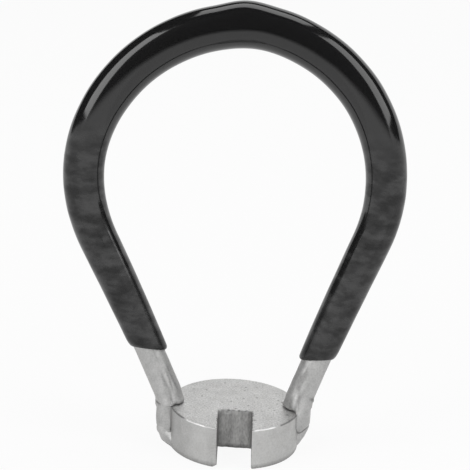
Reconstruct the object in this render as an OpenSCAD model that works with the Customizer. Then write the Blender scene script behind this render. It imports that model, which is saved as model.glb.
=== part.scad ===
// Spoke wrench: a slotted round head welded into a pear-shaped wire loop with a dipped grip.
// Millimetres. The head's axis is Z, its underside is at zero, and its slot opens to the front (-Y).

/* [Head] */
// Across the round head
head_d = 12.7; // [11:0.1:16]
// Thickness of the head
head_t = 4; // [3.4:0.1:6]
// Width of the slot, a sliding fit on the nipple's flats
slot_w = 3.25; // [3:0.01:4]
// Depth of the slot from the front of the head
slot_depth = 4.7; // [4:0.1:5.3]
// Break on the rims of the head
head_edge = 0.14; // [0.05:0.01:0.3]

/* [Loop] */
// Thickness of the wire
wire_d = 2.66; // [2.2:0.02:3.2]
// Across the round of the loop, on the wire's centreline
loop_d = 29.4; // [26:0.1:34]
// Height of the middle of the loop above the head
loop_rise = 22.1; // [20:0.1:27]
// Sideways place of the middle of the loop
loop_side = -1.2; // [-2:0.1:2]
// Radius of the slight outward curve of each leg
leg_r = 400; // [150:10:900]
// Lean of the loop behind the head's axis, in degrees
bow_lean = 16; // [8:0.5:24]

/* [Ends of the wire] */
// Length of the left tongue on the head's side
tongue_left = 2.8; // [1.5:0.1:3]
// Length of the right tongue on the head's side
tongue_right = 2.1; // [1.5:0.1:3]
// Distance of the wire's centreline outside the head's rim, at the top of the bend into the tongue
foot_out = 0.15; // [0:0.05:0.4]
// Height of the top of that bend above the head, along the loop
foot_rise = 1; // [0.6:0.1:1.6]
// Sideways place of the middle between the two legs
foot_side = -0.2; // [-0.3:0.05:0.3]
// Radius of the bend from each leg into its tongue
bend_r = 2; // [1.7:0.1:3]
// Gap between the shoulder of the wire and the top of the head
shoulder_gap = 0.12; // [0.05:0.01:0.2]
// Depth of the flat that the welding jaw pressed into each tongue
press_depth = 0.12; // [0.05:0.01:0.25]
// Height of that flat's upper edge above the head
press_rise = 0.3; // [0.1:0.05:0.6]

/* [Welds] */
// Height of the foot of each weld above the head's underside
weld_floor = 0.1; // [0.06:0.02:0.2]
// Width of a weld's foot beyond the wire's centreline
weld_foot = 0.5; // [0.3:0.05:0.7]

/* [Grip] */
// Height of the dip line above the head, along the loop
dip_rise = 4.76; // [4:0.1:7]
// Slant of each mouth toward the inside of the loop, in degrees
mouth_slant = 4; // [0:0.5:8]
// Thickness of the coat near its mouths
grip_end_t = 0.36; // [0.25:0.01:0.5]
// Thickness of the coat at the crown
grip_top_t = 0.88; // [0.55:0.01:1.1]
// Thickness of the lip at each mouth
lip_t = 0.05; // [0.03:0.01:0.1]
// Length of the rounded end on the outside of each mouth
round_out = 1.2; // [0.8:0.05:1.6]
// Length of the rounded end on the inside of each mouth
round_in = 0.4; // [0.3:0.05:0.8]
// Height of the drip at the crown
drip_h = 0.26; // [0:0.01:0.4]
// Half length of the drip along the crown
drip_l = 3; // [2:0.1:5]
// Room between the wire and the coat's inner skin
coat_gap = 0.04; // [0.03:0.01:0.08]

/* [Hidden] */
$fn = 64;

// Every cut runs past the faces that it opens by this much
overrun = 1;

head_r = head_d / 2;
wire_r = wire_d / 2;
loop_r = loop_d / 2;
skin_r = wire_r + coat_gap;

// In the loop's plane X is to the right, Y runs up the loop from the head's top, and Z faces the front
loop_mid = [loop_side, loop_rise];

// Sides and rings of the wire and of the coat's two skins, and the rings of the coat's rounded ends
skin_sides = 24;
leg_rings = 4;
bend_rings = 4;
loop_steps = 36;
end_shares = [0, 0.12, 0.35, 0.65];

// How fast the coat thickens from the dip line to the crown
drain_power = 0.78;

function turn(a) = [cos(a), sin(a)];
function angle_of(v) = atan2(v.y, v.x);
function part_turn(a, b) = (b - a + 540) % 360 - 180;
function ease(x) = x * x * (3 - 2 * x);

// A leg's foot on the head, the middle of its curve, and the angle at which it leaves the round of the loop
function leg_foot(side) = [foot_side + side * (head_r + foot_out), foot_rise];
function leg_mid(side) =
    let (foot = leg_foot(side), gap = loop_mid - foot, far = norm(gap), way = gap / far)
    let (along = (leg_r * leg_r - pow(loop_r + leg_r, 2) + far * far) / (2 * far))
    let (across = sqrt(leg_r * leg_r - along * along))
    foot + along * way + side * across * [way.y, -way.x];
function leg_leave(side) = angle_of(leg_mid(side) - loop_mid);

// A leg is the arc from its foot to the point where it touches the round of the loop
function leg_start(side) = angle_of(leg_foot(side) - leg_mid(side));
function leg_turn(side) = part_turn(leg_start(side), angle_of(loop_mid - leg_mid(side)));
function leg_point(side, share) = leg_mid(side) + leg_r * turn(leg_start(side) + share * leg_turn(side));

loop_start = leg_leave(1);
loop_turn = (leg_leave(-1) - loop_start + 360) % 360;

// The share of a leg that lies below the dip line
function dip_angle(side) = asin((dip_rise - leg_mid(side).y) / leg_r);
function dip_share(side) =
    let (a = side > 0 ? 180 - dip_angle(side) : dip_angle(side))
    part_turn(leg_start(side), a) / leg_turn(side);

// The way up a leg at its foot, the angle that its bend turns through, and the side to which it turns
function leg_way(side) =
    let (out = (leg_mid(side) - leg_foot(side)) / leg_r)
    side * [-out.y, out.x];
function bend_turn(side) = acos(leg_way(side).y * cos(bow_lean));
function bend_side(side) = angle_of([leg_way(side).x, leg_way(side).y * sin(bow_lean)]);

// The middle of a tongue and the height where its bend begins
function tongue_mid(side) =
    let (foot = leg_foot(side))
    [foot.x, foot.y * sin(bow_lean)] - bend_r * (1 - cos(bend_turn(side))) * turn(bend_side(side));
function tongue_top(side) = head_t + foot_rise * cos(bow_lean) - bend_r * sin(bend_turn(side));

module at_tongue(side) {
    mid = tongue_mid(side);
    translate([mid.x, mid.y, 0]) children();
}

// The flat on the outside of a tongue
module press_cut(side) {
    deep = head_t + press_rise;
    at_tongue(side)
        translate([side * (wire_r - press_depth + overrun / 2), 0, deep / 2])
            cube([overrun, wire_d + overrun, deep], center = true);
}

// The head's own room, which the ends of the wire and the welds are cut to
module head_room(extra) {
    translate([0, 0, -overrun]) cylinder(r = head_r, h = head_t + extra + overrun);
}

module wrench_head() {
    inner_r = head_r - head_edge;
    color("silver")
        difference() {
            rotate_extrude()
                polygon([
                    [0, 0],
                    [inner_r, 0],
                    [head_r, head_edge],
                    [head_r, head_t - head_edge],
                    [inner_r, head_t],
                    [0, head_t]
                ]);
            translate([-slot_w / 2, -head_r - overrun, -overrun])
                cube([slot_w, slot_depth + overrun, head_t + 2 * overrun]);
        }
}

// A way or a point of the loop's plane, in the head's frame
function way_of(v) = [
    v.x,
    v.y * sin(bow_lean) - v.z * cos(bow_lean),
    v.y * cos(bow_lean) + v.z * sin(bow_lean)
];
function place_of(p) = way_of(p) + [0, 0, head_t];

function turned(v, axis, a) = v * cos(a) + cross(axis, v) * sin(a) + axis * (axis * v) * (1 - cos(a));

// One ring of a skin, square to the wire at point p, with the outward way of the loop given by out.
// shear tips the ring toward the dip line, and share runs from 0 at the mouth to 1 past its rounded end.
function ring(p, out, up, r, shear = 0, share = 0) = [
    for (i = [0 : skin_sides - 1])
        let (a = 360 * i / skin_sides, reach = (1 + cos(a)) / 2)
        let (ahead = shear * skin_r * cos(a) + share * (round_in + (round_out - round_in) * reach))
        let (flat = p + r[i] * cos(a) * out + ahead * up)
        place_of([flat.x, flat.y, r[i] * sin(a)])
];

// A ring of the wire's bend at a share of its turn, where the bend begins at height z
function bend_ring(side, share, z) = [
    let (axis = [-sin(bend_side(side)), cos(bend_side(side)), 0], now = share * bend_turn(side))
    let (out = (leg_mid(side) - leg_foot(side)) / leg_r, back = now - bend_turn(side))
    let (one = turned(way_of([out.x, out.y, 0]), axis, back), two = turned(way_of([0, 0, 1]), axis, back))
    let (mid = tongue_mid(side) + bend_r * (1 - cos(now)) * turn(bend_side(side)))
    for (i = [0 : skin_sides - 1])
        let (a = 360 * i / skin_sides)
        [mid.x, mid.y, z + bend_r * sin(now)] + wire_r * (cos(a) * one + sin(a) * two)
];

wire_radii = [for (i = [1 : skin_sides]) wire_r];

function tongue_skin(side, length) = concat(
    [bend_ring(side, 0, head_t - length)],
    [for (j = [0 : bend_rings - 1]) bend_ring(side, j / bend_rings, tongue_top(side))]
);
function leg_wire(side) = [
    for (j = [0 : leg_rings - 1])
        let (p = leg_point(side, j / leg_rings), out = (leg_mid(side) - p) / leg_r)
        ring(p, out, [0, 0], wire_radii)
];

// Rings of the round of the loop, from the right leg over the crown to the left leg
function loop_rings(radii) = [
    for (j = [0 : loop_steps])
        let (out = turn(loop_start + loop_turn * j / loop_steps), p = loop_mid + loop_r * out)
        ring(p, out, [0, 0], radii(p))
];

function backward(rings) = [for (j = [len(rings) - 1 : -1 : 0]) rings[j]];

// Triangles between ring a and ring b of a list of points, where each ring has skin_sides points
function band(a, b) = [
    for (i = [0 : skin_sides - 1])
        let (k = (i + 1) % skin_sides)
        let (p = a * skin_sides + i, q = a * skin_sides + k, s = b * skin_sides + k, t = b * skin_sides + i)
        each [[p, q, s], [p, s, t]]
];

module bow_wire() {
    right = concat(tongue_skin(1, tongue_right), leg_wire(1));
    left = concat(tongue_skin(-1, tongue_left), leg_wire(-1));
    rings = concat(right, loop_rings(function (p) wire_radii), backward(left));
    last = len(rings) - 1;
    first_cap = [for (i = [skin_sides - 1 : -1 : 0]) i];
    last_cap = [for (i = [0 : skin_sides - 1]) last * skin_sides + i];
    sides = [for (j = [0 : last - 1]) each band(j, j + 1)];
    color("gainsboro")
        difference() {
            polyhedron(points = [for (one = rings) each one], faces = concat(sides, [first_cap, last_cap]));
            head_room(shoulder_gap);
            for (side = [-1, 1]) {
                press_cut(side);
            }
        }
}

crown_y = loop_mid.y + loop_r;

// The coat drained toward the crown while it set, so its thickness follows the height in the loop's plane
function coat_t(y) =
    let (rise = max(0, min(1, (y - dip_rise) / (crown_y - dip_rise))))
    grip_end_t + (grip_top_t - grip_end_t) * pow(rise, drain_power);

// The drip is a swelling on the outside of the crown
function drip(x, a) =
    let (near = 1 - min(1, abs(x - loop_mid.x) / drip_l))
    drip_h * ease(near) * max(0, cos(a));

function skin_radii(p, share, outer) = [
    for (i = [0 : skin_sides - 1])
        let (a = 360 * i / skin_sides, swell = sqrt(1 - pow(1 - share, 2)))
        let (t = lip_t + (coat_t(p.y) - lip_t) * swell + (p.y > loop_mid.y ? drip(p.x, a) : 0))
        (skin_r + (outer ? t : 0)) / cos(180 / skin_sides)
];

// Rings of one leg, from its mouth to the round of the loop
function leg_skin(side, outer) = [
    for (j = [0 : len(end_shares) + leg_rings - 1])
        let (ending = j < len(end_shares), share = ending ? end_shares[j] : 1)
        let (step = ending ? 0 : (j - len(end_shares)) / leg_rings)
        let (along = dip_share(side) + (1 - dip_share(side)) * step)
        let (p = leg_point(side, along), out = (leg_mid(side) - p) / leg_r)
        let (up = side * [-out.y, out.x])
        let (tip = tan(side * (90 - angle_of(up)) + mouth_slant))
        ring(p, out, up, skin_radii(p, share, outer), tip * (1 - ease(step)), share * (1 - ease(step)))
];

function skin(outer) = concat(
    leg_skin(1, outer),
    loop_rings(function (p) skin_radii(p, 1, outer)),
    backward(leg_skin(-1, outer))
);

module grip_coating() {
    outside = skin(true);
    inside = skin(false);
    rings = concat(outside, backward(inside));
    count = len(rings);
    color("#1c1c1c")
        polyhedron(
            points = [for (one = rings) each one],
            faces = [for (j = [0 : count - 1]) each band(j, (j + 1) % count)]
        );
}

// A weld fills the corner under a tongue. The rounded one bulges on an arc, the plain one is straight.
module weld(side, length, rounded) {
    top_r = wire_r - press_depth;
    high = head_t - length - weld_floor;
    drop = top_r - weld_foot;
    bulge_r = (drop * drop + high * high) / (2 * drop);
    difference() {
        at_tongue(side)
            translate([0, 0, weld_floor])
                rotate_extrude()
                    if (rounded) {
                        intersection() {
                            square([top_r, high]);
                            union() {
                                square([weld_foot, high]);
                                translate([top_r - bulge_r, high]) circle(r = bulge_r);
                            }
                        }
                    } else {
                        polygon([[0, 0], [weld_foot, 0], [top_r, high], [0, high]]);
                    }
        head_room(0);
    }
}

module weld_left() {
    color("darkgray") weld(-1, tongue_left, true);
}

module weld_right() {
    color("darkgray") weld(1, tongue_right, false);
}

wrench_head();
bow_wire();
grip_coating();
weld_left();
weld_right();
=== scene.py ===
import math
import bpy
import numpy as np
from mathutils import Matrix, Vector, noise


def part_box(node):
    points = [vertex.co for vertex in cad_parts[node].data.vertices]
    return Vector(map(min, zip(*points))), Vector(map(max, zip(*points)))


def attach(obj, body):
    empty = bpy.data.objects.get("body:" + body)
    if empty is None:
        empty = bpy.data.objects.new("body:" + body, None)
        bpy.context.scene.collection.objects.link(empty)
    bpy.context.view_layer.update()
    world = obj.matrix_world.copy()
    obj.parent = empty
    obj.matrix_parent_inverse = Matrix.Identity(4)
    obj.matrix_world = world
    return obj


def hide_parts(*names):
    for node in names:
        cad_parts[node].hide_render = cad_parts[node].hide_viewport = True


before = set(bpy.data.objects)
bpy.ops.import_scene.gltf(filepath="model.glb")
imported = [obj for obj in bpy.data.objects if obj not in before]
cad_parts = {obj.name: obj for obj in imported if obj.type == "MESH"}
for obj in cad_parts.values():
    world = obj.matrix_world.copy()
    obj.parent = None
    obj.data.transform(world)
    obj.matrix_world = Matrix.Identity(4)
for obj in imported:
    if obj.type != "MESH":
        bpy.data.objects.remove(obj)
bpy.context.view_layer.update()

mm = 0.001  # lengths below are in millimetres, as in the part
headLow, headHigh = [np.array(corner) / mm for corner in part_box("wrench_head")]
headR = (headHigh[0] - headLow[0]) / 2
headT = headHigh[2]
print(f"frame: head {2 * headR:.2f} across, {headT:.2f} thick")


# small helpers

def ease(x):
    x = np.clip(x, 0, 1)
    return x * x * (3 - 2 * x)


def mix(a, b, share):
    return a + (b - a) * share


def turn(angle):
    return np.array([math.cos(angle), math.sin(angle)])


def angleOf(v):
    return math.atan2(v[1], v[0])


def rough(p, size, seed=0.0):  # smooth noise about zero, with lumps of that size
    return noise.noise(Vector(p) / size + Vector((seed, 2 * seed, -seed)))


def gridFaces(rows, columns, joinRows=False, joinColumns=True):
    faces = []
    for j in range(rows if joinRows else rows - 1):
        k = (j + 1) % rows
        for i in range(columns if joinColumns else columns - 1):
            n = (i + 1) % columns
            faces.append((j * columns + i, j * columns + n, k * columns + n, k * columns + i))
    return faces


def makePiece(name, node, points, faces, materials, dirtAndShade=None, gleam=None):
    mesh = bpy.data.meshes.new(name)
    mesh.from_pydata((np.asarray(points) * mm).tolist(), [], faces)
    mesh.update()
    mesh.polygons.foreach_set("use_smooth", [True] * len(mesh.polygons))
    for material in materials:
        mesh.materials.append(material)
    # how much each point is darkened, by dirt and by painted shade in creases, grooves, recesses and under parts, and
    # how bright a painted glint makes it
    for key, values in (("dirtAndShade", dirtAndShade), ("gleam", gleam)):
        if values is not None:
            mesh.attributes.new(key, "FLOAT", "POINT").data.foreach_set("value", np.clip(values, 0, 1))
    piece = bpy.data.objects.new(name, mesh)
    bpy.context.collection.objects.link(piece)
    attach(piece, "root")
    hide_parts(node)
    print(f"{name}: {len(mesh.vertices)} points, {len(mesh.polygons)} faces")
    return piece


# materials

def newMaterial(name):
    material = bpy.data.materials.new(name)
    material.use_nodes = True
    nodes = material.node_tree.nodes
    return material, nodes, material.node_tree.links, nodes["Principled BSDF"]


def addNode(nodes, kind, **values):
    node = nodes.new(kind)
    for key, value in values.items():
        if key in node.inputs:
            node.inputs[key].default_value = value
        else:
            setattr(node, key, value)
    return node


def addRamp(nodes, links, source, stops):
    ramp = nodes.new("ShaderNodeValToRGB")
    elements = ramp.color_ramp.elements
    while len(elements) < len(stops):
        elements.new(0.5)
    for element, (place, value) in zip(elements, stops):
        element.position = place
        element.color = (*value, 1) if isinstance(value, tuple) else (value, value, value, 1)
    links.new(source, ramp.inputs[0])
    return ramp.outputs[0]


def fillSockets(links, sockets, values):  # a value is another node's output, or a number or colour
    for socket, value in zip(sockets, values):
        if isinstance(value, bpy.types.NodeSocket):
            links.new(value, socket)
        else:
            socket.default_value = value


def mixColour(nodes, links, share, a, b, blend="MIX"):
    node = addNode(nodes, "ShaderNodeMix", data_type="RGBA", blend_type=blend)
    fillSockets(links, (node.inputs[0], node.inputs[6], node.inputs[7]), (share, a, b))
    return node.outputs[2]


def mathNode(nodes, links, operation, a, b):
    node = addNode(nodes, "ShaderNodeMath", operation=operation)
    fillSockets(links, node.inputs, (a, b))
    return node.outputs[0]


steel = dict(
    # colours for pits, for dirt with painted shade, and for painted glints
    pitColour=(0.27, 0.268, 0.262), dirtAndShadeColour=(0.045, 0.044, 0.042), glintColour=(0.97, 0.968, 0.96),
    grain=6000, cloud=900, pits=2400,  # grains, clouds and pits to the metre
    bumpH=0.02,
)


def steelMaterial(name, light, dark, roughness=0.47, grainDepth=0.5, pitShare=0.1, contrast=1.0, streak=1.0):
    material, nodes, links, shader = newMaterial(name)
    place = addNode(nodes, "ShaderNodeMapping", Scale=(1, 1, streak))
    links.new(addNode(nodes, "ShaderNodeTexCoord").outputs["Object"], place.inputs["Vector"])
    grain = addNode(nodes, "ShaderNodeTexNoise", Scale=steel["grain"], Detail=3, Roughness=0.6)
    cloud = addNode(nodes, "ShaderNodeTexNoise", Scale=steel["cloud"], Detail=4, Roughness=0.55)
    pits = addNode(nodes, "ShaderNodeTexVoronoi", Scale=steel["pits"], Randomness=1)
    for texture in (grain, cloud, pits):
        links.new(place.outputs["Vector"], texture.inputs["Vector"])
    plain = mixColour(nodes, links, addRamp(nodes, links, cloud.outputs["Fac"], [(0.3, 0.0), (0.7, 1.0)]),
                      (*dark, 1), (*light, 1))
    speck = addRamp(nodes, links, grain.outputs["Fac"],
                    [(0.3, 1 - 0.2 * contrast), (0.5, 1.0), (0.72, 1 + 0.14 * contrast)])
    speckled = mixColour(nodes, links, 1.0, plain, speck, "MULTIPLY")
    # only some cells hold a pit, and a pit fills the middle of its cell
    chosen = addRamp(nodes, links, pits.outputs["Color"], [(pitShare, 1.0), (pitShare + 0.02, 0.0)])
    middle = addRamp(nodes, links, pits.outputs["Distance"], [(0.06, 1.0), (0.42, 0.0)])
    pit = mathNode(nodes, links, "MULTIPLY", chosen, middle)
    pitted = mixColour(nodes, links, pit, speckled, (*steel["pitColour"], 1))
    # dirt and painted shade in the creases, broken up by the grain
    darkening = addNode(nodes, "ShaderNodeAttribute", attribute_name="dirtAndShade").outputs["Fac"]
    darkening = mathNode(nodes, links, "MULTIPLY", darkening,
                    addRamp(nodes, links, grain.outputs["Fac"], [(0.3, 1.0), (0.7, 0.75)]))
    colour = mixColour(nodes, links, darkening, pitted, (*steel["dirtAndShadeColour"], 1))
    # painted glints: the base colour turns near-white where the gleam attribute says
    wearAndGlint = addNode(nodes, "ShaderNodeAttribute", attribute_name="gleam").outputs["Fac"]
    wearAndGlint = mathNode(nodes, links, "MULTIPLY", wearAndGlint,
                    addRamp(nodes, links, cloud.outputs["Fac"], [(0.35, 0.55), (0.55, 1.0)]))
    colour = mixColour(nodes, links, wearAndGlint, colour, (*steel["glintColour"], 1))
    links.new(colour, shader.inputs["Base Color"])
    dull = addRamp(nodes, links, grain.outputs["Fac"], [(0.25, roughness + 0.08), (0.75, roughness - 0.06)])
    links.new(dull, shader.inputs["Roughness"])
    height = mathNode(nodes, links, "SUBTRACT", grain.outputs["Fac"], pit)
    bump = addNode(nodes, "ShaderNodeBump", Strength=grainDepth, Distance=steel["bumpH"] * mm)
    links.new(height, bump.inputs["Height"])
    links.new(bump.outputs["Normal"], shader.inputs["Normal"])
    links.new(mathNode(nodes, links, "SUBTRACT", 1.0, darkening), shader.inputs["Metallic"])
    return material


headSteel = steelMaterial("headSteel", light=(0.69, 0.688, 0.68), dark=(0.59, 0.588, 0.58),
                          pitShare=0.22, contrast=1.4, grainDepth=0.6)
wallSteel = steelMaterial("wallSteel", light=(0.6, 0.598, 0.59), dark=(0.53, 0.528, 0.52),
                          pitShare=0.03, contrast=0.35, grainDepth=0.15)
# darker inside the slot: a rougher, streaked broached surface, and painted shade of the recess
slotShadedSteel = steelMaterial("slotShadedSteel", light=(0.54, 0.538, 0.53), dark=(0.27, 0.268, 0.263),
                          roughness=0.5, grainDepth=0.8, streak=0.4)
wireSteel = steelMaterial("wireSteel", light=(0.53, 0.528, 0.522), dark=(0.45, 0.449, 0.444),
                          pitShare=0.04, contrast=0.6, grainDepth=0.25)
weldSteel = steelMaterial("weldSteel", light=(0.53, 0.528, 0.522), dark=(0.44, 0.439, 0.434),
                          roughness=0.42, pitShare=0.04, contrast=0.5, grainDepth=0.2)


vinyl = dict(
    colour=(0.0105, 0.0105, 0.0107), dust=(0.034, 0.034, 0.0343),
    peel=700, smudge=400, spots=190, flatten=2.2,  # to the metre, and how much wider than tall the smudges are
    handled=(26, 31.5),  # smudged by hands below these heights
    wearAndGlint=(13, 23), wornDull=0.25,  # rubbed dull below these heights
    gloss=0.1, dull=0.2, shine=0.58, dim=0.33, spotShine=0.16, spotShare=0.3,
    peelDepth=0.15, peelH=0.03, index=1.52,
)


def belowHeights(nodes, links, z, low, high):  # 1 below the lower height, 0 above the upper one
    node = addNode(nodes, "ShaderNodeMapRange", interpolation_type="SMOOTHSTEP")
    links.new(z, node.inputs["Value"])
    for key, value in (("From Min", low * mm), ("From Max", high * mm), ("To Min", 1), ("To Max", 0)):
        node.inputs[key].default_value = value
    return node.outputs["Result"]


def vinylMaterial(name):
    material, nodes, links, shader = newMaterial(name)
    place = addNode(nodes, "ShaderNodeTexCoord").outputs["Object"]
    wide = addNode(nodes, "ShaderNodeMapping", Scale=(1, 1, vinyl["flatten"]))
    peel = addNode(nodes, "ShaderNodeTexNoise", Scale=vinyl["peel"], Detail=2, Roughness=0.5)
    smudge = addNode(nodes, "ShaderNodeTexNoise", Scale=vinyl["smudge"], Detail=5, Roughness=0.6)
    spots = addNode(nodes, "ShaderNodeTexVoronoi", Scale=vinyl["spots"], Randomness=1)
    parts = addNode(nodes, "ShaderNodeSeparateXYZ")
    for socket in (wide.inputs["Vector"], peel.inputs["Vector"], spots.inputs["Vector"], parts.inputs[0]):
        links.new(place, socket)
    links.new(wide.outputs["Vector"], smudge.inputs["Vector"])
    handled, rubbed = (belowHeights(nodes, links, parts.outputs["Z"], *vinyl[key]) for key in ("handled", "wearAndGlint"))
    # greasy marks mirror less, dusty ones are paler
    grease = mathNode(nodes, links, "MULTIPLY", handled,
                      addRamp(nodes, links, smudge.outputs["Fac"], [(0.46, 0.0), (0.62, 1.0)]))
    dusty = mathNode(nodes, links, "MULTIPLY", handled,
                     addRamp(nodes, links, smudge.outputs["Fac"], [(0.32, 1.0), (0.5, 0.0)]))
    links.new(mixColour(nodes, links, dusty, (*vinyl["colour"], 1), (*vinyl["dust"], 1)), shader.inputs["Base Color"])
    share = vinyl["spotShare"]
    chosen = addRamp(nodes, links, spots.outputs["Color"], [(share, 1.0), (share + 0.02, 0.0)])
    middle = addRamp(nodes, links, spots.outputs["Distance"], [(0.02, 1.0), (0.06, 0.0)])
    spot = mathNode(nodes, links, "MULTIPLY", chosen, middle)
    shine = addRamp(nodes, links, grease, [(0, vinyl["shine"]), (1, vinyl["dim"])])
    shine = mixColour(nodes, links, spot, shine, (vinyl["spotShine"],) * 3 + (1,))
    links.new(shine, shader.inputs["Specular IOR Level"])
    dull = addRamp(nodes, links, grease, [(0, vinyl["gloss"]), (1, vinyl["dull"])])
    dull = mathNode(nodes, links, "MAXIMUM", dull, mathNode(nodes, links, "MULTIPLY", rubbed, vinyl["wornDull"]))
    links.new(dull, shader.inputs["Roughness"])
    bump = addNode(nodes, "ShaderNodeBump", Strength=vinyl["peelDepth"], Distance=vinyl["peelH"] * mm)
    links.new(peel.outputs["Fac"], bump.inputs["Height"])
    links.new(bump.outputs["Normal"], shader.inputs["Normal"])
    shader.inputs["IOR"].default_value = vinyl["index"]
    return material


gripVinyl = vinylMaterial("gripVinyl")
print("materials made")


# the wire's path: tongue, bend, leg, round of the loop, and back down the other side

bow = dict(
    wireR=1.33, loopR=14.7, loopRise=22.1, loopSide=-1.2, legR=400, lean=16,
    footOut=0.15, footRise=1, footSide=-0.2, bendR=2,
)
wireR, loopR, legR, bendR = bow["wireR"], bow["loopR"], bow["legR"], bow["bendR"]
lean = math.radians(bow["lean"])
loopMid = np.array([bow["loopSide"], bow["loopRise"]])
headTop = np.array([0, 0, headT])


def inHead(x, y, z=0.0):  # from the leaning plane of the loop to the head's frame
    return np.array([
        x,
        y * math.sin(lean) - z * math.cos(lean),
        y * math.cos(lean) + z * math.sin(lean),
    ])


def legOf(side):
    foot = np.array([bow["footSide"] + side * (headR + bow["footOut"]), bow["footRise"]])
    gap = loopMid - foot
    far = np.linalg.norm(gap)
    way = gap / far
    along = (legR**2 - (loopR + legR) ** 2 + far**2) / (2 * far)
    across = math.sqrt(legR**2 - along**2)
    mid = foot + along * way + side * across * np.array([way[1], -way[0]])
    start = angleOf(foot - mid)
    sweep = (angleOf(loopMid - mid) - start + 3 * math.pi) % (2 * math.pi) - math.pi
    up = side * np.array([-(mid - foot)[1], (mid - foot)[0]]) / legR
    bendTurn = math.acos(up[1] * math.cos(lean))
    bendSide = math.atan2(up[1] * math.sin(lean), up[0])
    tongue = np.array([foot[0], foot[1] * math.sin(lean)])
    tongue = tongue - bendR * (1 - math.cos(bendTurn)) * turn(bendSide)
    tongueTop = headT + bow["footRise"] * math.cos(lean) - bendR * math.sin(bendTurn)
    return dict(mid=mid, start=start, sweep=sweep, bendTurn=bendTurn, bendSide=bendSide,
                tongue=tongue, tongueTop=tongueTop)


legs = {side: legOf(side) for side in (1, -1)}
loopStart = angleOf(legs[1]["mid"] - loopMid)
loopSweep = (angleOf(legs[-1]["mid"] - loopMid) - loopStart) % (2 * math.pi)


# a station is a place on the path, the ways out of the loop and to its front, and its place in the plane
def station(flat, out):
    return dict(at=inHead(*flat) + headTop, out=inHead(*out), face=inHead(0, 0, 1), flat=flat, flatOut=out)


def legStation(side, share):
    leg = legs[side]
    flat = leg["mid"] + legR * turn(leg["start"] + share * leg["sweep"])
    return station(flat, (leg["mid"] - flat) / legR)


def loopStation(share):
    out = turn(loopStart + share * loopSweep)
    return station(loopMid + loopR * out, out)


def bendStation(side, now, height=None):
    leg = legs[side]
    foot = legStation(side, 0)
    axis = Vector((-math.sin(leg["bendSide"]), math.cos(leg["bendSide"]), 0))
    back = Matrix.Rotation(now - leg["bendTurn"], 3, axis)
    flat = leg["tongue"] + bendR * (1 - math.cos(now)) * turn(leg["bendSide"])
    z = leg["tongueTop"] + bendR * math.sin(now) if height is None else height
    return dict(at=np.array([*flat, z]), out=np.array(back @ Vector(foot["out"])),
                face=np.array(back @ Vector(foot["face"])))


def wayRound(place, a):  # out of the path's middle at a station, by the angle round the wire
    return math.cos(a) * place["out"] + math.sin(a) * place["face"]


def legLength(side):
    return legR * abs(legs[side]["sweep"])


print(f"path: legs {legLength(1):.1f} and {legLength(-1):.1f}, round {loopR * loopSweep:.1f}")


# head: a round puck with an open slot, its rims broken by tumbling

puck = dict(
    slotW=3.25, slotDepth=4.7, rim=0.14, rimSteps=5, wallRows=10, spacing=0.09,
    slotShift=(0.22, 0.07),  # the slot stands a little to the right, more so at the floor
    cornerPasses=2, ragged=0.7, raggedSize=0.5, raggedFade=0.7, teeth=0.75, teethSize=0.32,
    chip=0.3, chipSize=0.42, chipTop=0.7,  # the broken corner at the foot of the left jaw
    # where painted shade darkens the rim beside the tongues, in degrees forward of each side, and how dark the
    # painted shade is on the rim, along the foot and in the slot
    rimDark={-1: (16, 43.5), 1: (14, 47)}, rimShadeStrength=0.75, footShade=0.5, slotSide=0.45, slotShadeStrength=0.6,
    # painted glints on the top rim: where, in degrees forward of each side, how bright, and how softly they fade
    rimGlint={-1: (44, 67), 1: (50, 73)}, rimGleam=0.9, rimSoft=3,
    # painted darker reflection on the wall beside the welds, and a scribed line, by degrees forward
    wallShade={-1: [(0, 0.0), (12, 0.2), (24, 0.24), (38, 0.22), (48, 0.14), (56, 0.0), (66, 0.0), (72, 0.1), (90, 0.1)],
          1: [(0, 0.0), (20, 0.05), (40, 0.08), (52, 0.04), (64, 0.0), (90, 0.05)]},
    scribe=dict(low=(1.7, 23.4), high=(3.85, 20.8), wide=0.6, dark=0.45),
)


def headOutline(inset, shift):  # round the back from the right side of the mouth to the left, then round the slot
    half, back, r = puck["slotW"] / 2 + inset, -headR + puck["slotDepth"] + inset, headR - inset
    left, right = shift - half, shift + half
    start, stop = math.asin(right / r), math.asin(left / r)
    turns = int(2 * math.pi * headR / puck["spacing"])
    sides, across = (int(puck[key] / puck["spacing"]) for key in ("slotDepth", "slotW"))
    points = [r * turn(-math.pi / 2 + start + (2 * math.pi + stop - start) * i / turns) for i in range(turns)]
    corners = [(left, -r * math.cos(stop)), (left, back), (right, back), (right, -r * math.cos(start))]
    for a, b, count in zip(corners, corners[1:], (sides, across, sides)):
        points += [mix(np.array(a), np.array(b), i / count) for i in range(count)]
    inSlot = np.arange(len(points)) >= turns
    points = np.array(points)
    for _ in range(puck["cornerPasses"]):
        points = (np.roll(points, 1, 0) + 2 * points + np.roll(points, -1, 0)) / 4
    way = np.roll(points, -1, 0) - np.roll(points, 1, 0)
    way /= np.linalg.norm(way, axis=1)[:, None]
    return points, np.stack([-way[:, 1], way[:, 0]], 1), inSlot


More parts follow.
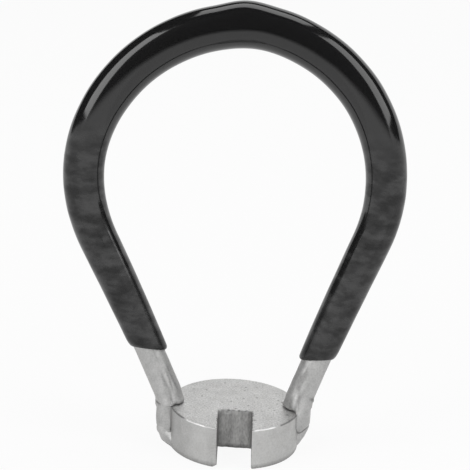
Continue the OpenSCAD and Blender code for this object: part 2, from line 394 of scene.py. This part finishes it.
def buildHead():
    middle = sum(puck["slotShift"]) / 2
    points, _, inSlot = headOutline(0, middle)
    rim, steps = puck["rim"], puck["rimSteps"]
    profile = [(2 * rim, 0)]
    profile += [(rim * (1 - math.sin(a)), rim * (1 - math.cos(a)))
                for a in np.linspace(0, math.pi / 2, steps + 1)]
    profile += [(0, z) for z in np.linspace(rim, headT - rim, puck["wallRows"])[1:-1]]
    profile += [(inset, headT - z) for inset, z in reversed(profile[: steps + 2])]
    # the broach tore the slot's edges a little, but not at the mouth
    inside = ease((headR - np.linalg.norm(points, axis=1)) / puck["raggedFade"]) * inSlot
    tear = 1 + puck["ragged"] * inside * np.array([0.4 + 1.6 * rough((*p, 0), puck["raggedSize"], 3) for p in points])
    teeth = puck["teeth"] * inside * np.clip([3 * rough((*p, 0), puck["teethSize"], 11) for p in points], 0, 1)
    jaw = np.array([puck["slotShift"][0] - puck["slotW"] / 2, -math.sqrt(headR**2 - puck["slotW"] ** 2 / 4)])
    chip = puck["chip"] * np.clip(1 - np.linalg.norm(points - jaw, axis=1) / puck["chipSize"], 0, 1)
    sideOf = np.where(points[:, 0] > 0, 1, -1)
    forward = np.degrees(np.arctan2(-points[:, 1], np.abs(points[:, 0])))

    def between(key):
        soft = puck["rimSoft"]
        low, high = np.array([puck[key][s] for s in sideOf]).T
        return ease((forward - low) / soft) * ease((high - forward) / soft) * ~inSlot

    # painted shade on the top rim beside the tongues
    rimShade = puck["rimShadeStrength"] * between("rimDark")
    # painted glints on the top rim
    rimGleam = puck["rimGleam"] * between("rimGlint")
    # painted darker reflection on the wall beside the welds
    wallShade = np.array([np.interp(f, *zip(*puck["wallShade"][s])) for f, s in zip(forward, sideOf)]) * ~inSlot
    back = -headR + puck["slotDepth"]
    onSide = points[:, 1] < back - 0.05
    # painted shade in the slot: on its side walls, and on the back wall toward its corners
    edge = np.clip(1 - (puck["slotW"] / 2 - np.abs(points[:, 0] - middle)) / puck["slotSide"], 0, 1)
    slotShade = inSlot * np.where(onSide, puck["slotShadeStrength"], puck["slotShadeStrength"] * edge)
    scribe = puck["scribe"]
    rings, dirtAndShade, gleam = [], [], []
    for inset, z in profile:
        flat, inward, _ = headOutline(inset, mix(*puck["slotShift"], z / headT))
        flat = flat + inward * (inset * (tear - 1))[:, None]
        level = np.full(len(points), z)
        low, high = z < rim, z > headT - rim
        if low or high:
            level = z * tear if low else headT - (headT - z) * tear
        level = level + chip * ease(1 - z / puck["chipTop"])
        rings.append(np.column_stack([flat, level]))
        # painted shade along the foot, where the head meets the floor
        foot = puck["footShade"] * ease((2 * rim - z) / rim)
        onEdge = high and inset < 0.7 * rim
        line = np.interp(z, *zip(scribe["low"], scribe["high"]))
        drawn = (np.abs(forward - line) < scribe["wide"]) & (sideOf < 0) & ~inSlot
        drawn = drawn * scribe["dark"] * (scribe["low"][0] < z < scribe["high"][0])
        wall = np.maximum(wallShade, slotShade) * (not high)
        dirtAndShade.append(np.maximum.reduce([np.full(len(points), foot), (rimShade + teeth) * onEdge, wall, drawn]))
        gleam.append(rimGleam * onEdge)
    count = len(points)
    faces = gridFaces(len(rings), count)
    last = (len(rings) - 1) * count
    faces.append(tuple(reversed(range(count))))
    faces.append(tuple(range(last, last + count)))
    piece = makePiece("headPuck", "wrench_head", np.concatenate(rings), faces,
                      [headSteel, slotShadedSteel, wallSteel], np.concatenate(dirtAndShade), np.concatenate(gleam))
    wallRows = range(steps // 2 + 1, len(rings) - steps // 2 - 2)
    index = [0] * len(faces)
    for f in range((len(rings) - 1) * count):
        if f // count in wallRows:
            index[f] = 1 if inSlot[f % count] else 2
    piece.data.polygons.foreach_set("material_index", index)


buildHead()


# wire: a full round down to the head's top, then only its outer part as a tongue on the head's side

wire = dict(
    sides=84, hiddenStep=1.5, shownStep=0.12, tongueStep=0.08, cornerStep=0.004,
    shoulderRound=0.06, wallBed=0.02, burrL=0.45,
    ends={
        # front: how many degrees further round the head the front edge of a tongue is squeezed, by height
        # notchShade: height of the painted shade in the notch under the ridge; tipShade and pit: painted shade under
        # the tongue's end and at the groove's foot
        1: dict(
            end=1.8, slant=0.48, tip=0.16, taper=0.0, taperFrom=2.4, bedTop=0.42,
            pressDepth=-0.1, swell=0.1, ridge=5.15, notchShade=5.25,
            gap=0.07, gapTilt=0.06, burr=0.13, burrFront=0.0, tipShade=1.0, pit=1.95,
            front=[(1.7, -2.6), (1.95, 3.4), (2.3, 6.9), (2.7, 8.6), (3.4, 9.5), (3.8, 9.5), (4.07, 8),
                   (4.4, 5.5), (4.8, 3), (5.2, 1), (5.6, 0)],
        ),
        -1: dict(
            end=1.15, slant=0.0, tip=0.3, taper=0.6, taperFrom=2.5, bedTop=0.0,
            pressDepth=0.16, swell=0.0, ridge=3.56, notchShade=3.98,
            gap=0.02, gapTilt=0.02, burr=0.12, burrFront=0.3, tipShade=0.4, pit=1.72,
            front=[(1.0, 7.5), (2.0, 7.5), (2.6, 6.8), (3.2, 6.0), (3.75, 5.0), (4.02, 4.4), (4.3, 3.1),
                   (4.6, 1.6), (5.0, 0.4), (5.3, 0)],
        ),
    },
    shown=6.5,  # how much of a leg the coat may leave bare
    ridgeH=0.1, ridgeL=0.13, notch=0.03, dent=0.012, dentSize=0.7,
    foldL=0.5, foldDeep=(0.4, 1.5), foldOver=(0.3, 1.5),  # the squeeze beside the head, and above it
    # painted shade under the shoulder's gap and in the groove beside a tongue, darkest at a pit near its end
    gapL=0.22, gapShade=0.8, pitL=0.2, grooveW=(0.06, 0.14), grooveShade=0.75,
    streakShade=0.5, streakShadeSize=0.3, streakShadeLong=5,  # painted shade in dark streaks on the inner sides, this much longer than wide
)


def pressedRadius(side, way, z):  # the jaw's flat on the outside of a tongue, under a small ridge
    end = wire["ends"][side]
    across = side * way[0]
    below = ease((end["ridge"] - z) / wire["ridgeL"])
    depth = end["pressDepth"] * below + end["taper"] * max(0, (end["taperFrom"] - z) / end["taperFrom"]) ** 1.6
    swell = wire["ridgeH"] * math.exp(-(((z - end["ridge"]) / wire["ridgeL"]) ** 2))
    swell -= wire["notch"] * math.exp(-(((z - end["ridge"]) / wire["ridgeL"] + 1.6) ** 2))
    if across <= 0:
        return wireR
    return min(wireR + (swell + end["swell"] * below) * across**4, (wireR - depth + swell) / max(across, 0.05))


def wallRadius(mid, way, bed=0.0):  # from the middle of a tongue to the head's side
    reach = headR - wire["wallBed"] - bed
    inward = float(np.dot(mid, way[:2]))
    room = inward * inward - (float(np.dot(mid, mid)) - reach * reach)
    if inward >= 0 or room <= 0:
        return wireR
    return min(wireR, max(-inward - math.sqrt(room), 0.0))


def wireAngles():  # even steps round the wire, and the places where the tongues' sections meet the head's side
    fine = np.linspace(0, 2 * math.pi, 7200, endpoint=False)
    corners = {}
    for side in (1, -1):
        place = bendStation(side, 0)
        way = np.outer(np.cos(fine), place["out"][:2]) + np.outer(np.sin(fine), place["face"][:2])
        inside = np.linalg.norm(legs[side]["tongue"] + wireR * way, axis=1) < headR - wire["wallBed"]
        corners[side] = list(fine[np.nonzero(inside != np.roll(inside, 1))[0]])
    every = corners[1] + corners[-1]
    even = [a for a in np.linspace(0, 2 * math.pi, wire["sides"], endpoint=False)
            if min(abs(a - c) for c in every) > 4 * wire["cornerStep"]]
    return np.array(sorted(even + [c + d * wire["cornerStep"] for c in every for d in (-1, 1)])), corners


angles, corners = wireAngles()


def frontEdge(side):  # degrees forward of the front edge of a tongue, before it is squeezed
    place = bendStation(side, 0)
    spots = [legs[side]["tongue"] + wireR * wayRound(place, a)[:2] for a in corners[side]]
    return max(math.degrees(math.atan2(-spot[1], side * spot[0])) for spot in spots)


edges = {side: frontEdge(side) for side in (1, -1)}


def wireShade(side, way, z, front=0.0):  # painted shade: in the notch under the jaw's ridge, on the inner sides in streaks, in the groove beside the tongue and under its end
    end = wire["ends"][side]
    across = max(0, side * way[0])
    notchShade = math.exp(-(((z - end["notchShade"]) / wire["ridgeL"]) ** 2))
    notchShade *= 0.3 * across**4 + 0.7 * ease((across - 0.5) / 0.3)
    inner = ease((-side * way[0] - 0.35) / 0.5) * 0.3 * ease((z - headT) / 0.3)
    spot = (wireR * way[0], wireR * way[1], z / wire["streakShadeLong"])
    streakShade = wire["streakShade"] * ease(0.5 - 1.2 * side * way[0]) * np.clip(2.5 * rough(spot, wire["streakShadeSize"], 13), 0, 1)
    return max(notchShade, inner, streakShade, front)


def squeezed(point, side, z):  # turns the front of a tongue further round the head
    forward = math.degrees(math.atan2(-point[1], side * point[0]))
    far = np.linalg.norm(point[:2])
    more = np.interp(z, *zip(*wire["ends"][side]["front"]))
    above = ease((z - headT) / wire["foldL"])  # a soft fold above the head
    deep, over = mix(*wire["foldDeep"], above), mix(*wire["foldOver"], above)
    more *= np.clip(forward / edges[side], 0, 1) ** 1.5 * np.clip((far - headR + deep) / over, 0, 1)
    angle = math.radians(forward + more)
    return np.array([side * far * math.cos(angle), -far * math.sin(angle), point[2]])


def endRings(side):  # from the tip of a tongue up to the foot of its leg
    leg, end = legs[side], wire["ends"][side]
    shoulder = headT + end["gap"]
    rings, dirtAndShade = [], []

    def ring(place, z, clip, shrink=0.0, rounding=0.0, lift=0.0, darkening=0.0):
        row, shadeRow = [], []
        bed = end["bedTop"] * ease((z - headT + 0.2) / 0.2)
        for a in angles:
            way = wayRound(place, a)
            clear = wallRadius(leg["tongue"], way, bed)
            r = pressedRadius(side, way, z)
            inner = ease((wireR - clear) / 0.3)
            low = ease(1 - (z - shoulder) / wire["gapL"])
            # painted shade in the groove where the tongue meets the head's side
            if clip:
                r = min(r, clear)
                gap = min(abs((a - c + math.pi) % (2 * math.pi) - math.pi) for c in corners[side])
                near = math.exp(-(((z - end["pit"]) / wire["pitL"]) ** 2))
                shade = math.exp(-(gap * wireR / mix(*wire["grooveW"], near)) ** 2)
                shade *= mix(wire["grooveShade"], 1, near)
            else:
                corner = math.exp(-(((math.atan2(-way[1], -side * way[0]) - math.pi / 4) / 0.5) ** 2))
                burr = end["burr"] * inner + end["burrFront"] * corner
                r += burr * ease(1 - (z - shoulder) / wire["burrL"]) - rounding * inner
                # painted shadow under the shoulder's gap
                shade = wire["gapShade"] * inner * low
            r = max(r - shrink, 0.02) if r > shrink else r * 0.5
            point = place["at"] + r * way
            point[2] += lift * side * way[0]
            if not clip:
                point[2] += end["gapTilt"] * low * ease((-side * way[0] - 0.4) / 0.6)
            row.append(squeezed(point, side, z))
            shadeRow.append(wireShade(side, way, z, max(darkening, shade)))
        rings.append(np.array(row))
        dirtAndShade.append(np.array(shadeRow))

    tip = end["tip"]
    for share in (0.0, 0.3, 0.55, 0.75, 0.9, 1.0):
        z = end["end"] + tip * share
        shrink = tip * (1 - math.sqrt(max(0.0, 1 - (1 - share) ** 2)))
        # painted shade under the tongue's end
        ring(bendStation(side, 0, z), z, True, shrink, lift=end["slant"],
             darkening=end["tipShade"] * (1 - share))
    start = end["end"] + tip
    for share in np.linspace(0, 1, int((shoulder - start) / wire["tongueStep"]))[1:]:
        z = mix(start, shoulder, share)
        ring(bendStation(side, 0, z), z, True, lift=end["slant"] * (1 - ease(3 * share)))
    for share in (0.0, 0.3, 0.6, 1.0):
        z = shoulder + wire["shoulderRound"] * share
        now = math.asin(np.clip((z - leg["tongueTop"]) / bendR, 0, 1))
        rounding = wire["shoulderRound"] * (1 - math.sqrt(max(0.0, 1 - (1 - share) ** 2)))
        ring(bendStation(side, now), z, False, rounding=rounding)
    first = math.asin(np.clip((shoulder + wire["shoulderRound"] - leg["tongueTop"]) / bendR, 0, 1))
    for now in np.linspace(first, leg["bendTurn"], 10)[1:-1]:
        place = bendStation(side, now)
        ring(place, place["at"][2], False)
    return rings, dirtAndShade


def legRings(side):
    shown = wire["shown"] / legLength(side)
    shares = list(np.arange(0, shown, wire["shownStep"] / legLength(side)))
    shares += list(np.linspace(shown, 1, int((1 - shown) * legLength(side) / wire["hiddenStep"])))[:-1]
    rings, dirtAndShade = [], []
    for share in shares:
        place = legStation(side, share)
        ways = [wayRound(place, a) for a in angles]
        z = place["at"][2]
        rings.append(np.array([squeezed(place["at"] + pressedRadius(side, way, z) * way, side, z) for way in ways]))
        dirtAndShade.append(np.array([wireShade(side, way, z) for way in ways]))
    return rings, dirtAndShade


def buildWire():
    count, hidden = len(angles), []
    for share in np.linspace(0, 1, int(loopR * loopSweep / wire["hiddenStep"])):
        place = loopStation(share)
        hidden.append(np.array([place["at"] + wireR * wayRound(place, a) for a in angles]))
    ends, shanks = {}, {}
    for side in (1, -1):
        ends[side], shanks[side] = endRings(side), legRings(side)
    rings = ends[1][0] + shanks[1][0] + hidden + shanks[-1][0][::-1] + ends[-1][0][::-1]
    dirtAndShade = ends[1][1] + shanks[1][1] + [np.zeros(count)] * len(hidden) + shanks[-1][1][::-1] + ends[-1][1][::-1]
    middles = np.array([ring.mean(0) for ring in rings])
    points = np.concatenate(rings)
    points = np.array([p + (p - middles[i // count]) * wire["dent"] * rough(p, wire["dentSize"])
                       for i, p in enumerate(points)])
    faces = [tuple(reversed(face)) for face in gridFaces(len(rings), count)]
    last = (len(rings) - 1) * count
    faces.append(tuple(range(count)))
    faces.append(tuple(reversed(range(last, last + count))))
    makePiece("bowWire", "bow_wire", points, faces, [wireSteel], np.concatenate(dirtAndShade))


buildWire()


# welds: lumps that carry the tongues' ends on into the head's side, feathered out toward the floor

weldSteps = dict(
    columns=96, rows=48, sink=0.08, back=0.3, lumpSize=0.45, featherTop=0.3, featherL=0.9,
    seamL=0.07, seamShade=0.9, footTop=0.16, footL=0.12, footShade=0.5, gleamL=0.12, gleamWide=0.55,
)
welds = {
    # plan: height, how many degrees to each side the lump is flat, and where it ends in front and behind
    # gleam: painted glints, by height, degrees forward and strength
    # seam: painted shade in a line under the tongue's end, from a radius and height to another
    -1: dict(
        name="weldLeft", node="weld_left", spread=28, floor=0.02, top=2.3, lumps=0.03, seam=None,
        out=[(0, 0.76), (0.23, 0.84), (0.5, 0.93), (0.83, 1.02), (1.2, 1.1), (1.45, 1.135), (1.7, 1.12),
             (2.0, 1.05), (2.3, 0.9)],
        plan=[(0, 0, 25, 22), (0.5, 2, 23.5, 19), (0.9, 5, 21.5, 15.5), (1.2, 8, 20, 12.8),
              (1.45, 8.5, 19.2, 11.5), (1.7, 8, 18.4, 11), (2.3, 7, 17, 10.5)],
        gleam=[(1.46, 17.6, 0.9), (1.3, 18.4, 1.0), (1.13, 19.3, 0.8), (0.98, 20.1, 1.0), (0.84, 20.9, 0.8)],
    ),
    1: dict(
        name="weldRight", node="weld_right", spread=22, floor=0.06, top=2.3, lumps=0.012,
        seam=((6.6, 1.78), (7.45, 2.36)), gleam=[],
        out=[(0, 0.02), (0.2, 0.05), (0.3, 0.26), (0.4, 0.35), (0.58, 0.45), (1.0, 0.65), (1.39, 0.82),
             (1.71, 0.96), (2.05, 1.08), (2.3, 1.05)],
        plan=[(0, 0, 15, 15), (0.5, 0, 14, 14), (1.2, 0, 13, 13), (1.8, 0, 12, 12), (2.3, 0, 11.5, 11.5)],
    ),
}


def buildWeld(side):
    shape, rows, columns = welds[side], weldSteps["rows"], weldSteps["columns"]
    sink = -weldSteps["sink"]
    tongueAngle = math.atan2(legs[side]["tongue"][1], side * legs[side]["tongue"][0])
    wide = math.radians(shape["spread"])
    front, back, dirtAndShade, gleam = [], [], [], []
    for z in np.linspace(shape["floor"], shape["top"], rows):
        out = np.interp(z, *zip(*shape["out"]))
        heights, *plan = zip(*shape["plan"])
        frontFlat, frontFoot, backFoot = (math.radians(np.interp(z, heights, degrees)) for degrees in plan)
        for a in np.linspace(-wide, wide, columns):
            # round over at the top like the tongue, feathered out at the floor
            foot = frontFoot if a < 0 else backFoot
            flat = frontFlat * foot / frontFoot
            x = np.clip((foot - abs(a)) / (foot - flat), 0, 1)
            full = ease((z - weldSteps["featherTop"]) / weldSteps["featherL"])
            fall = mix(ease(x), math.sqrt(1 - (1 - x) ** 2), full)
            level = (headR + out) / math.cos(min(abs(a), flat)) - headR
            r = headR + mix(sink, level, fall)
            angle = tongueAngle + a
            forward = -math.degrees(angle)
            spot = np.array([side * math.cos(angle), math.sin(angle)])
            r += shape["lumps"] * rough((*(spot * headR), z), weldSteps["lumpSize"], 5 * side) * (r > headR)
            front.append([*(spot * r), z])
            back.append([*(spot * (headR - weldSteps["back"])), z])
            # painted shade at the foot by the floor, and in a line under the tongue's end
            dark = weldSteps["footShade"] * ease((weldSteps["footTop"] - z) / weldSteps["footL"])
            if shape["seam"]:
                line = np.interp(r, *zip(*shape["seam"]))
                dark += weldSteps["seamShade"] * math.exp(-(((z - line) / weldSteps["seamL"]) ** 2))
            dirtAndShade.append(dark)
            # painted glints on the lump
            gleam.append(sum(bright * math.exp(-((z - gleamZ) / weldSteps["gleamL"]) ** 2
                                               - ((forward - gleamAngle) / weldSteps["gleamWide"]) ** 2)
                             for gleamZ, gleamAngle, bright in shape["gleam"]))
    faces = gridFaces(rows, columns, joinColumns=False)
    count = rows * columns
    faces += [tuple(count + i for i in reversed(face)) for face in faces]
    edge = list(range(columns)) + [(j + 1) * columns - 1 for j in range(1, rows)]
    edge += [(rows - 1) * columns + i for i in reversed(range(columns - 1))]
    edge += [j * columns for j in reversed(range(1, rows - 1))]
    for a, b in zip(edge, edge[1:] + edge[:1]):
        faces.append((b, a, count + a, count + b))
    if side < 0:
        faces = [tuple(reversed(face)) for face in faces]
    makePiece(shape["name"], shape["node"], np.array(front + back), faces, [weldSteel],
              np.array(dirtAndShade + [0] * count), np.array(gleam + [0] * count))


for side in (-1, 1):
    buildWeld(side)


# grip: the dipped skin, drained toward the crown while it set, with rounded mouths and a drip at the top

coat = dict(
    dipRise={1: 4.76, -1: 4.92}, mouthSlant=4, endT=0.36, topT=0.88, lipT=0.06, roundOut=1.2, roundIn=0.4,
    drain=0.78, dripH=0.26, dripL=3, sides=96, step=0.3, bed=0.03, wave=0.02, waveSize=2.5,
    # bulges of the skin in the loop's plane: place round the loop, spread, and height
    bulges=[(178, 22, 0.2), (125, 30, -0.18), (84, 14, 0.15)],
)


def coatThickness(flat, a):
    crown = bow["loopRise"] + loopR
    low = coat["dipRise"][1]
    rise = np.clip((flat[1] - low) / (crown - low), 0, 1)
    thick = mix(coat["endT"], coat["topT"], rise ** coat["drain"])
    if flat[1] > loopMid[1]:
        near = 1 - min(1, abs(flat[0] - loopMid[0]) / coat["dripL"])
        thick += coat["dripH"] * ease(near) * max(0, math.cos(a))
    return thick


def bulge(flat):
    angle = math.degrees(angleOf(flat - loopMid))
    return sum(high * math.exp(-(((angle - place + 180) % 360 - 180) / spread) ** 2)
               for place, spread, high in coat["bulges"])


def coatRing(place, angles, tip=0.0, share=1.0, hold=0.0):
    up = np.cross(place["face"], place["out"])  # along the path, from the right leg to the left
    swell = math.sqrt(1 - (1 - share) ** 2)
    row = []
    for a in angles:
        way = wayRound(place, a)
        r = wireR + coat["lipT"] + (coatThickness(place["flat"], a) - coat["lipT"]) * swell
        reach = mix(coat["roundIn"], coat["roundOut"], (1 + math.cos(a)) / 2)
        ahead = tip * wireR * math.cos(a) + hold * share * reach
        point = place["at"] + r * way + ahead * up
        point += bulge(place["flat"]) * swell * place["out"]
        point += coat["wave"] * swell * rough(point, coat["waveSize"], 7) * way
        row.append(point)
    return np.array(row)


def coatLeg(side, angles):
    leg = legs[side]
    dip = math.asin((coat["dipRise"][side] - leg["mid"][1]) / legR)
    dip = math.pi - dip if side > 0 else dip
    first = ((dip - leg["start"] + math.pi) % (2 * math.pi) - math.pi) / leg["sweep"]
    rings = []
    ending = [0, 0.04, 0.1, 0.18, 0.28, 0.4, 0.54, 0.7, 0.85]
    steps = int((1 - first) * legLength(side) / coat["step"])
    for j in range(len(ending) + steps):
        share = ending[j] if j < len(ending) else 1.0
        step = 0 if j < len(ending) else (j - len(ending)) / steps
        place = legStation(side, mix(first, 1, step))
        upAngle = angleOf(side * np.array([-place["flatOut"][1], place["flatOut"][0]]))
        slant = math.tan(side * (math.pi / 2 - upAngle) + math.radians(coat["mouthSlant"]))
        fade = 1 - ease(step)
        rings.append(coatRing(place, angles, side * slant * fade, share, side * fade))
    return rings


def buildCoat():
    angles = np.linspace(0, 2 * math.pi, coat["sides"], endpoint=False)
    count = int(loopR * loopSweep / coat["step"])
    crown = [coatRing(loopStation(i / count), angles) for i in range(count + 1)]
    right, left = coatLeg(1, angles), coatLeg(-1, angles)
    outer = right + crown + left[::-1]
    # the inner skin is bedded a little into the wire
    inner = []
    for ring in (outer[0], outer[-1]):
        middle = ring.mean(0)
        inner.append(middle + (ring - middle) * (wireR - coat["bed"]) / (wireR + coat["lipT"]))
    places = [legStation(-1, 0.6), *(loopStation(s) for s in np.linspace(1, 0, 60)), legStation(1, 0.6)]
    hollow = [place["at"] + (wireR - coat["bed"]) * np.array([wayRound(place, a) for a in angles])
              for place in places]
    rings = outer + [inner[1]] + hollow + [inner[0]]
    faces = [tuple(reversed(face)) for face in gridFaces(len(rings), coat["sides"], joinRows=True)]
    makePiece("gripCoat", "grip_coating", np.concatenate(rings), faces, [gripVinyl])


buildCoat()


# stage: pale floor, with a dark canopy, a small dark flag and two white cards that the gloss mirrors

stage = dict(
    floorColour=(0.82, 0.82, 0.82, 1), darkColour=(0.03, 0.03, 0.03, 1),
    floorHalf=1.6, floorShade=0.08, floorMirror=0.6, canopyR=0.9, canopyMid=0.02, canopyColumns=72, canopyRows=24,
    # height of the canopy's rim in degrees, by the angle from the front
    rim=[(-180, 44), (-165, 36), (-150, 22), (-135, 8), (-120, 5), (-105, 11), (-90, 18), (-75, 22),
         (-60, 25), (-45, 27), (0, 27), (45, 28), (60, 26), (75, 22), (90, 18), (105, 13), (118, 16),
         (128, 28), (140, 38), (150, 42), (165, 44), (180, 44)],
    flag=dict(half=22, low=33.5, solid=38, high=80, front=3),
    fill=dict(side=23, low=22, high=78, front=3, deep=100),
)


def whiteStage(name, shade, mirror):  # white to the eye but for its shadows, which the steel mirrors more strongly
    material = bpy.data.materials.new(name)
    material.use_nodes = True
    nodes, links = material.node_tree.nodes, material.node_tree.links
    nodes.clear()
    rays = addNode(nodes, "ShaderNodeLightPath")
    seen = mathNode(nodes, links, "MAXIMUM", rays.outputs["Is Camera Ray"], rays.outputs["Is Transmission Ray"])
    share = mathNode(nodes, links, "MAXIMUM", mathNode(nodes, links, "MULTIPLY", seen, 1 - shade),
                     mathNode(nodes, links, "MULTIPLY", rays.outputs["Is Glossy Ray"], mirror))
    plain = addNode(nodes, "ShaderNodeBsdfDiffuse", Color=stage["floorColour"])
    white = addNode(nodes, "ShaderNodeEmission", Color=(1, 1, 1, 1), Strength=1)
    blend = addNode(nodes, "ShaderNodeMixShader")
    links.new(share, blend.inputs[0])
    links.new(plain.outputs[0], blend.inputs[1])
    links.new(white.outputs[0], blend.inputs[2])
    links.new(blend.outputs[0], addNode(nodes, "ShaderNodeOutputMaterial").inputs["Surface"])
    return material


def buildFloor():
    half = stage["floorHalf"]
    mesh = bpy.data.meshes.new("paleFloor")
    mesh.from_pydata([(-half, -half, 0), (half, -half, 0), (half, half, 0), (-half, half, 0)], [], [(0, 1, 2, 3)])
    mesh.materials.append(whiteStage("paleFloor", stage["floorShade"], stage["floorMirror"]))
    floor = bpy.data.objects.new("paleFloor", mesh)
    bpy.context.collection.objects.link(floor)


def darkMaterial(name):
    material, nodes, links, shader = newMaterial(name)
    shader.inputs["Base Color"].default_value = stage["darkColour"]
    shader.inputs["Roughness"].default_value = 1
    return material, nodes, links, shader


def addCard(name, points, faces, material, mirrorOnly=False):
    mesh = bpy.data.meshes.new(name)
    mesh.from_pydata(points, [], faces)
    mesh.materials.append(material)
    card = bpy.data.objects.new(name, mesh)
    bpy.context.collection.objects.link(card)
    card.visible_camera = False
    card.visible_diffuse = card.visible_shadow = not mirrorOnly


def buildCanopy():
    rows, columns = stage["canopyRows"], stage["canopyColumns"]
    fronts, rims = zip(*stage["rim"])
    points = []
    for j in range(rows):
        for i in range(columns):
            a = 360 * i / columns - 180
            up = math.radians(mix(np.interp(a, fronts, rims), 90, j / rows))
            level = stage["canopyR"] * math.cos(up)
            points.append((level * math.sin(math.radians(a)), -level * math.cos(math.radians(a)),
                           stage["canopyMid"] + stage["canopyR"] * math.sin(up)))
    faces = gridFaces(rows, columns)
    faces.append(tuple(range((rows - 1) * columns, rows * columns)))
    addCard("darkCanopy", points, faces, darkMaterial("darkCanopy")[0])


def buildFlag():  # a card before the crown, thinning out toward its lower edge
    flag = stage["flag"]
    half, front = flag["half"] * mm, -flag["front"] * mm
    low, high = flag["low"] * mm, flag["high"] * mm
    points = [(-half, front, low), (half, front, low), (half, front, high), (-half, front, high)]
    material, nodes, links, shader = darkMaterial("frontFlag")
    parts = addNode(nodes, "ShaderNodeSeparateXYZ")
    links.new(addNode(nodes, "ShaderNodeTexCoord").outputs["Object"], parts.inputs[0])
    solid = addNode(nodes, "ShaderNodeMapRange", interpolation_type="SMOOTHSTEP")
    links.new(parts.outputs["Z"], solid.inputs["Value"])
    for key, value in (("From Min", low), ("From Max", flag["solid"] * mm)):
        solid.inputs[key].default_value = value
    blend = addNode(nodes, "ShaderNodeMixShader")
    links.new(solid.outputs["Result"], blend.inputs[0])
    links.new(addNode(nodes, "ShaderNodeBsdfTransparent").outputs[0], blend.inputs[1])
    links.new(shader.outputs[0], blend.inputs[2])
    links.new(blend.outputs[0], nodes["Material Output"].inputs["Surface"])
    addCard("frontFlag", points, [(0, 1, 2, 3)], material, mirrorOnly=True)


def buildFills():  # white cards to both sides of the flag, which only the lower legs mirror
    fill = stage["fill"]
    material, nodes, links, shader = newMaterial("whiteFill")
    nodes.remove(shader)
    white = addNode(nodes, "ShaderNodeEmission", Color=(1, 1, 1, 1), Strength=1)
    links.new(white.outputs[0], nodes["Material Output"].inputs["Surface"])
    front, deep, low, high = (fill[key] * mm for key in ("front", "deep", "low", "high"))
    for side, name in ((-1, "leftFill"), (1, "rightFill")):
        x = side * fill["side"] * mm
        points = [(x, -front, low), (x, -deep, low), (x, -deep, high), (x, -front, high)]
        addCard(name, points, [(0, 1, 2, 3)], material, mirrorOnly=True)


buildFloor()
buildCanopy()
buildFlag()
buildFills()
print("stage set")


# camera: square on to the loop's plane, rolled a little, as the photograph was taken

camera = dict(lens=100, sensor=36, clip=(0.005, 20), roll=3.4, aimSide=0.02, aimUp=16.44, distance=127.55)


def placed(axes, at):  # the matrix of something that stands there, turned to those three ways
    matrix = Matrix.Identity(4)
    for column, axis in enumerate((*axes, at)):
        for row in range(3):
            matrix[row][column] = axis[row]
    return matrix


def cameraAxes():
    roll = math.radians(camera["roll"])
    side = math.cos(roll) * inHead(1, 0) + math.sin(roll) * np.array([0, math.sin(lean), math.cos(lean)])
    up = -math.sin(roll) * inHead(1, 0) + math.cos(roll) * np.array([0, math.sin(lean), math.cos(lean)])
    return side, up, inHead(0, 0, 1)


def addCamera():
    side, up, back = cameraAxes()
    at = headTop + camera["aimSide"] * side + camera["aimUp"] * up + camera["distance"] * back
    data = bpy.data.cameras.new("camera")
    data.lens, data.sensor_width = camera["lens"], camera["sensor"]
    data.clip_start, data.clip_end = camera["clip"]
    eye = bpy.data.objects.new("camera", data)
    eye.matrix_world = placed((side, up, back), at * mm)
    bpy.context.collection.objects.link(eye)
    bpy.context.scene.camera = eye


addCamera()


# lamps: soft boxes to the left, right and top, placed by their angle from the front and their height

lamps = dict(
    distance=0.55, middle=0.02,
    boxes=[
        dict(name="leftBox", turn=-64, rise=45, wide=35, tall=34, radiance=3.3),
        dict(name="rightBox", turn=74, rise=46, wide=37, tall=34, radiance=2.5),
        dict(name="topBox", turn=172, rise=72, wide=40, tall=28, radiance=2.2),
    ],
)


def addLamps():
    for box in lamps["boxes"]:
        a, up = math.radians(box["turn"]), math.radians(box["rise"])
        way = Vector((math.cos(up) * math.sin(a), -math.cos(up) * math.cos(a), math.sin(up)))
        wideWay = Vector((math.cos(a), math.sin(a), 0))
        tallWay = way.cross(wideWay)
        wide, tall = (2 * lamps["distance"] * math.tan(math.radians(box[key]) / 2) for key in ("wide", "tall"))
        data = bpy.data.lights.new(box["name"], "AREA")
        data.shape, data.size, data.size_y = "RECTANGLE", wide, tall
        data.energy = box["radiance"] * math.pi * wide * tall
        lamp = bpy.data.objects.new(box["name"], data)
        at = Vector((0, 0, lamps["middle"])) + lamps["distance"] * way
        lamp.matrix_world = placed((wideWay, tallWay, way), at)
        bpy.context.collection.objects.link(lamp)


def addWorld():
    world = bpy.data.worlds.new("whiteRoom")
    world.use_nodes = True
    world.node_tree.nodes["Background"].inputs["Color"].default_value = (1, 1, 1, 1)
    world.node_tree.nodes["Background"].inputs["Strength"].default_value = 1
    bpy.context.scene.world = world


addLamps()
addWorld()
bpy.context.scene.view_settings.view_transform = "Standard"
print("camera and lamps set")
